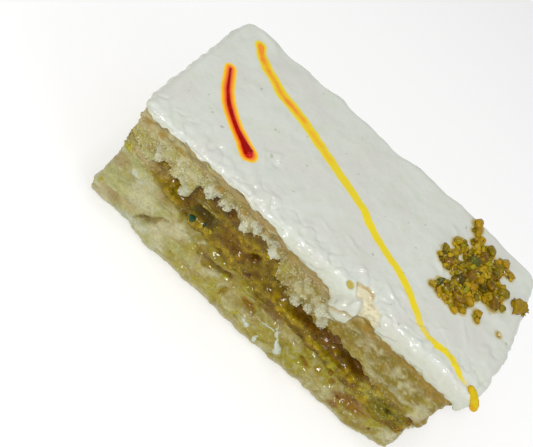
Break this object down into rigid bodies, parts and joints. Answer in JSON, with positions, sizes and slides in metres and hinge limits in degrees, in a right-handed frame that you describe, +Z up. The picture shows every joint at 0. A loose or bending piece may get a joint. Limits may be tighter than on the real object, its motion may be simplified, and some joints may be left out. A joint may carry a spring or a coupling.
{
  "type": "malai cake",
  "caption": "Rectangular bar of layered milk cake filled with saffron and nut paste, coated with malai cream and topped with crushed pistachio and a saffron strand.",
  "frame": {"origin": "centre of the bar's footprint, on the surface that it rests on", "axes": "+X along the bar, towards the end with the pistachio; -Y out of the long side where the filling shows; +Z up"},
  "size_m": [0.0831, 0.0421, 0.0312],
  "materials": {
    "milk_cake": "moist cream-coloured milk cake, soft and slightly glossy where it is wet",
    "saffron_paste": "grainy mustard-yellow paste, sticky and glossy",
    "malai": "thick white cream with a wet gloss"
  },
  "bodies": {
    "root": {"bottom_layer": "milk_cake", "filling": "saffron_paste", "top_layer": "milk_cake", "malai_topping": "malai"}
  },
  "joints": []
}
